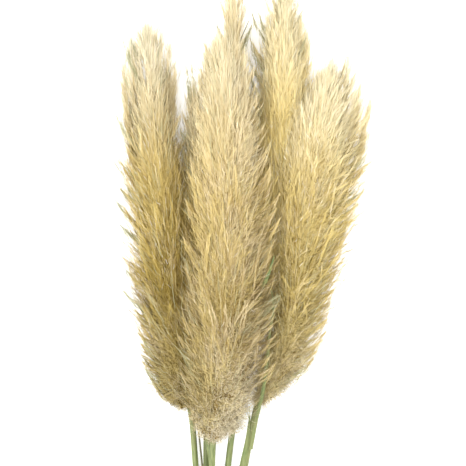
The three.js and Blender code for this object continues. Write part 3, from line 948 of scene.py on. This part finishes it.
leafFinishes = {
    "leaf_green": fibrousFinish("green blade", tint(128, 142, 88), tint(82, 104, 54), tint(142, 138, 92),
                                0.55, 1500, 0.4),
    "leaf_dry": fibrousFinish("dry blade", tint(98, 96, 60), tint(62, 62, 36), tint(112, 100, 62),
                              0.6, 1500, 0.4),
}


def extrudeStrip(line, wide, cup, columns):  # a strip hollowed along its middle, narrowed as it goes
    bpy.ops.object.select_all(action="DESELECT")
    first = line[1] - line[0]
    bpy.ops.mesh.primitive_plane_add(size=1, location=(line[0] + line[1]) / 2)
    piece = bpy.context.object
    piece.dimensions = (wide[0] * millimetre, first[1], 0)
    bpy.ops.object.transform_apply(location=False, rotation=False, scale=True)
    startEditing("EDGE")
    bpy.ops.mesh.select_all(action="DESELECT")
    bpy.ops.object.mode_set(mode="OBJECT")
    for edge in piece.data.edges:
        ends = [piece.data.vertices[k].co.x for k in edge.vertices]
        edge.select = abs(ends[0] - ends[1]) > wide[0] * 0.5 * millimetre
    startEditing("EDGE")
    bpy.ops.mesh.subdivide(number_cuts=columns - 1)
    bpy.ops.object.mode_set(mode="OBJECT")
    half = wide[0] * millimetre / 2
    for corner in piece.data.vertices:
        share = corner.co.x / half
        corner.co.z -= cup * millimetre * share ** 2
        end = 0 if corner.co.y < 0 else 1
        shift = line[end] - (line[0] + line[1]) / 2
        corner.co.x += shift[0]
        corner.co.z += shift[2]
        corner.select = end == 1
    for part in (*piece.data.edges, *piece.data.polygons):
        part.select = False
    for edge in piece.data.edges:
        edge.select = all(piece.data.vertices[k].select for k in edge.vertices)
    startEditing("EDGE")
    extrudeAlong(line[1:], wide[1:])
    return piece


def makeFibre(points, finish):  # a thread that the sheath splits into
    fibre = smoothLine(points, np.linspace(points[0][1], points[-1][1], 8))
    piece = startRod(6, 0.7, fibre[0])
    extrudeAlong(fibre, 0.86 ** np.arange(8))
    closeRod()
    bpy.ops.object.mode_set(mode="OBJECT")
    piece.data.materials.append(finish)
    return piece


def makeLeaf(name, plan):
    route = plan["route"]
    length = route[-1][1] - route[0][1]
    share = np.linspace(0, 1, max(8, int(length / 7)))
    line = smoothLine(route, route[0][1] + share * length)
    wide = plan["width"] * (0.1 + 0.9 * np.sin(np.pi * (0.3 + 0.7 * share)) ** 0.8)
    piece = extrudeStrip(line, wide, plan["cup"], plan["columns"])
    bpy.ops.object.mode_set(mode="OBJECT")
    skin = piece.modifiers.new("thickness", "SOLIDIFY")
    skin.thickness = 0.5 * millimetre
    skin.offset = 0
    bpy.ops.object.modifier_apply(modifier=skin.name)
    piece.data.materials.append(leafFinishes[plan["slot"]])
    bpy.ops.object.shade_smooth_by_angle(angle=math.radians(50))
    pieces = [piece] + [makeFibre(points, leafFinishes[plan["slot"]]) for points in plan.get("fibres", [])]
    for other in pieces:
        other.select_set(True)
    bpy.context.view_layer.objects.active = piece
    if len(pieces) > 1:
        bpy.ops.object.join()
    return settle(piece, name, plan["slot"], name)


print("leaves")
for name, plan in leafPlans.items():
    makeLeaf(name, plan)

twinePlan = {
    "radius": 1.05, "turns": 3, "strands": 3, "strandRadius": 0.56, "twist": 5.2, "inner": 4.65,
    "spacing": 9.65, "low": 6.75, "high": 23.46, "light": tint(196, 168, 118), "dark": tint(132, 102, 62),
    "knot": (3.1, 2.5, 0.9),
}


def tieCourse(plan):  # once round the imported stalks: three corners with straight runs between
    x, low, high = plan["spacing"], plan["low"], plan["high"]
    corners = [(x, low, -90, 30), (0, high, 30, 150), (-x, low, 150, 270)]
    out = plan["inner"] + plan["radius"]
    points = []
    for x, z, start, end in corners:
        for angle in np.radians(np.linspace(start, end, 13)):
            points.append((x + out * math.cos(angle), z + out * math.sin(angle)))
    points.append(points[0])
    return np.array(points)


def evenly(points, step):  # the same course with its points a step apart
    points = np.array(points, float)
    run = np.concatenate([[0], np.cumsum(np.linalg.norm(np.diff(points, axis=0), axis=1))])
    marks = np.linspace(0, run[-1], max(3, int(run[-1] / step)))
    return np.stack([np.interp(marks, run, points[:, k]) for k in range(3)], -1), marks


def makeTwine(plan):
    course = tieCourse(plan)
    laps = []
    for lap in range(plan["turns"]):
        share = np.linspace(0, 1, len(course), endpoint=False)
        y = (lap - (plan["turns"] - 1) / 2) * 2 * plan["radius"] + 0 * share
        y = y + 2 * plan["radius"] * np.clip((share - 0.9) / 0.1, 0, 1) * (lap < plan["turns"] - 1)
        laps.append(np.stack([course[:, 0], y, course[:, 1]], -1))
    wrap = np.concatenate(laps)
    t = np.linspace(0, 2 * math.pi, 90)
    top = plan["high"] + plan["inner"] + 2 * plan["radius"] + 0.5
    wideX, wideY, wideZ = plan["knot"]
    knotX = wideX * (np.sin(t) + 2 * np.sin(2 * t)) / 2.6
    knotY = wideY * (np.cos(t) - 2 * np.cos(2 * t)) / 2.6
    knot = np.stack([knotX, knotY, top - wideZ * np.sin(3 * t)], -1)
    # three strands twisted together, round the stalks and round the knot
    curve = bpy.data.curves.new("twine", "CURVE")
    curve.dimensions = "3D"
    curve.bevel_depth = plan["strandRadius"] * millimetre
    curve.bevel_resolution = 1
    curve.use_fill_caps = True
    for line, ring in ((wrap, False), (knot, True)):
        line, marks = evenly(line, 0.8)
        forward = normalised(np.gradient(line, axis=0))
        side = normalised(np.cross(forward, np.array([0.05, 1.0, 0.1])))
        up = np.cross(side, forward)
        turns = max(1, round(marks[-1] / plan["twist"]))
        for strand in range(plan["strands"]):
            phase = 2 * math.pi * (turns * marks / marks[-1] + strand / plan["strands"])
            offset = plan["radius"] - plan["strandRadius"]
            spots = place(line + offset * (np.cos(phase)[:, None] * side + np.sin(phase)[:, None] * up))
            spline = curve.splines.new("POLY")
            spline.points.add(len(spots) - 1)
            spline.points.foreach_set("co", np.concatenate([spots, np.ones((len(spots), 1))], 1).ravel())
            spline.use_cyclic_u = ring
    piece = bpy.data.objects.new("twine_tie", curve)
    bpy.context.scene.collection.objects.link(piece)
    bpy.ops.object.select_all(action="DESELECT")
    piece.select_set(True)
    bpy.context.view_layer.objects.active = piece
    bpy.ops.object.convert(target="MESH")
    piece = bpy.context.object
    bpy.ops.object.shade_smooth()
    finish = fibrousFinish("twine fibre", plan["light"], plan["dark"], tint(170, 138, 90), 0.9, 900, 0.6)
    piece.data.materials.append(finish)
    return settle(piece, "twine_tie", "twine", "twine_tie")


print("twine")
makeTwine(twinePlan)

print("floor, light and camera")
floorPlan = {"side": 30, "shade": (0.82, 0.82, 0.82, 1), "glow": 0.5}
bpy.ops.object.select_all(action="DESELECT")
bpy.ops.mesh.primitive_plane_add(size=floorPlan["side"], location=(0, 0, 0))
floor = bpy.context.object
floor.name = "floor"
floorFinish = Finish("pale floor", roughness=0.9, Base_Color=floorPlan["shade"], Specular_IOR_Level=0.1,
                     Emission_Color=(1, 1, 1, 1), Emission_Strength=floorPlan["glow"])
floor.data.materials.append(floorFinish.material)

world = bpy.data.worlds.new("studio")
bpy.context.scene.world = world
world.use_nodes = True
backdrop = world.node_tree.nodes["Background"].inputs
backdrop["Color"].default_value = (1, 1, 1, 1)
backdrop["Strength"].default_value = 1.25

lightPlan = {
    "key": {"spot": (-1.3, -0.6, 2.4), "side": 1.6, "power": 58},
    "fill": {"spot": (1.6, 1.2, 2.2), "side": 2.0, "power": 24},
}
for label, plan in lightPlan.items():
    data = bpy.data.lights.new(label, "AREA")
    data.shape = "SQUARE"
    data.size = plan["side"]
    data.energy = plan["power"]
    lamp = bpy.data.objects.new(label, data)
    bpy.context.scene.collection.objects.link(lamp)
    lamp.location = plan["spot"]
    lamp.rotation_mode = "QUATERNION"
    lamp.rotation_quaternion = (Vector((0, 0.15, 0)) - Vector(plan["spot"])).to_track_quat("-Z", "Y")

cameraPlan = {"over": (-0.0138, 0.1778), "level": 0.048, "wide": 0.5732, "lens": 135, "sensor": 36}
cameraData = bpy.data.cameras.new("camera")
cameraData.lens = cameraPlan["lens"]
cameraData.sensor_width = cameraPlan["sensor"]
camera = bpy.data.objects.new("camera", cameraData)
bpy.context.scene.collection.objects.link(camera)
away = cameraPlan["wide"] * cameraPlan["lens"] / cameraPlan["sensor"]
camera.location = (*cameraPlan["over"], cameraPlan["level"] + away)
bpy.context.scene.camera = camera
bpy.context.scene.view_settings.view_transform = "Standard"
